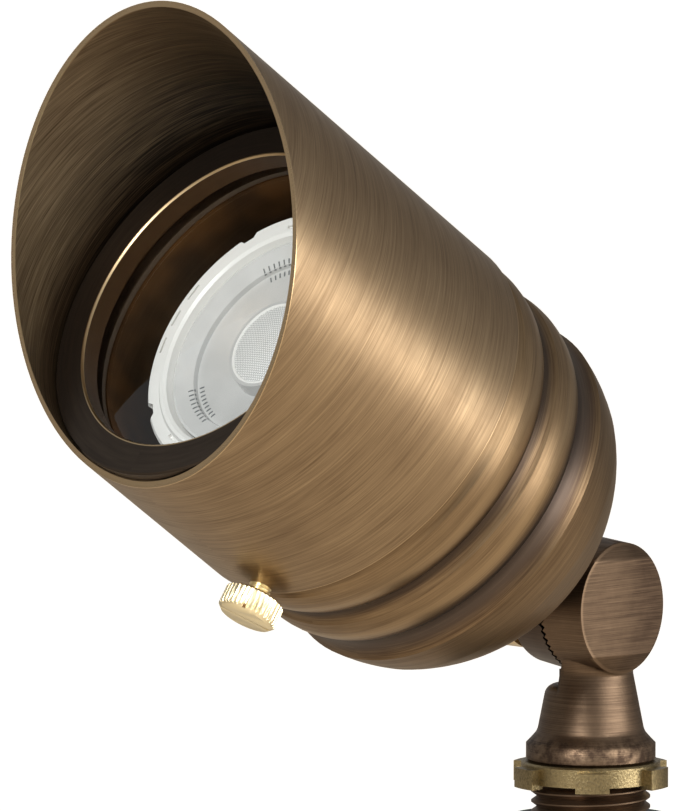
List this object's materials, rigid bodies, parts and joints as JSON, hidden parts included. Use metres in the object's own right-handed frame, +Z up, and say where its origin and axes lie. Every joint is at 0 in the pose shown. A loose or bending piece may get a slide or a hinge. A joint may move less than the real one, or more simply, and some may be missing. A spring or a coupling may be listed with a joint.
{
  "type": "garden spike spotlight",
  "caption": "Bronze-finished garden spotlight: slant-cut glare shroud, beaded lamp housing and serrated tilting knuckle on a threaded stem in a ground spike.",
  "frame": {"origin": "on the stem's axis at the soil line, the underside of the spike's collar", "axes": "+Z up along the stem; the knuckle's axis is parallel to X; the lamp looks towards -Y and up"},
  "size_m": [0.0712, 0.13, 0.3848],
  "materials": {
    "bronze": "brushed antique",
    "dark_bronze": "dark brushed",
    "cast_bronze": "cast antique",
    "polished_brass": "polished",
    "brass": "satin",
    "glass": "clear",
    "silicone": "matte",
    "white_plastic": "satin",
    "clear_plastic": "clear",
    "circuit_board": "matte",
    "aluminium": "cast",
    "nickel": "plated",
    "ceramic": "unglazed",
    "steel": "plain",
    "black_plastic": "moulded"
  },
  "bodies": {
    "spike": {"ground_spike": "black_plastic"},
    "stem": {"knuckle_stem": "cast_bronze"},
    "locknut": {"locknut": "brass"},
    "clamp_knob": {"clamp_knob": "polished_brass", "clamp_washer": "steel"},
    "head": {"lamp_housing": "bronze", "head_knuckle": "cast_bronze", "shank_nut": "brass", "shank_washer": "steel", "lens_gasket": "silicone", "glass_lens": "glass", "lamp_frame": "white_plastic", "lamp_optic": "clear_plastic", "lamp_board": "circuit_board", "lamp_heat_sink": "aluminium", "lamp_base": "white_plastic", "lamp_pins": "nickel", "lamp_socket": "ceramic", "socket_bracket": "steel", "bracket_screws": "steel", "socket_screws": "steel"},
    "lens_ring": {"lens_ring": "dark_bronze"},
    "shroud": {"glare_shroud": "bronze"},
    "thumb_screw": {"shroud_thumb_screw": "polished_brass"}
  },
  "joints": [
    {"name": "stem_swivel", "type": "hinge", "parent": "spike", "child": "stem", "pos_m": [0, 0, 0.01], "axis": [0, 0, 1], "range_deg": [-180, 180]},
    {"name": "locknut_turn", "type": "hinge", "parent": "stem", "child": "locknut", "pos_m": [0, 0, 0.0204], "axis": [0, 0, 1], "continuous": true},
    {"name": "clamp_knob_turn", "type": "hinge", "parent": "stem", "child": "clamp_knob", "pos_m": [-0.0175, 0, 0.0495], "axis": [-1, 0, 0], "continuous": true},
    {"name": "knuckle_tilt", "type": "hinge", "parent": "stem", "child": "head", "pos_m": [0, 0, 0.0495], "axis": [-1, 0, 0], "range_deg": [-40, 100]},
    {"name": "lens_ring_turn", "type": "hinge", "parent": "head", "child": "lens_ring", "pos_m": [0, -0.08686, 0.1078], "axis": [0, -0.8211, 0.5707], "continuous": true},
    {"name": "shroud_slide", "type": "slide", "parent": "head", "child": "shroud", "axis": [0, -0.8211, 0.5707], "range_m": [0, 0.03]},
    {"name": "thumb_screw_turn", "type": "hinge", "parent": "shroud", "child": "thumb_screw", "pos_m": [0.001, -0.08063, 0.05719], "axis": [0, -0.5707, -0.8211], "continuous": true}
  ]
}
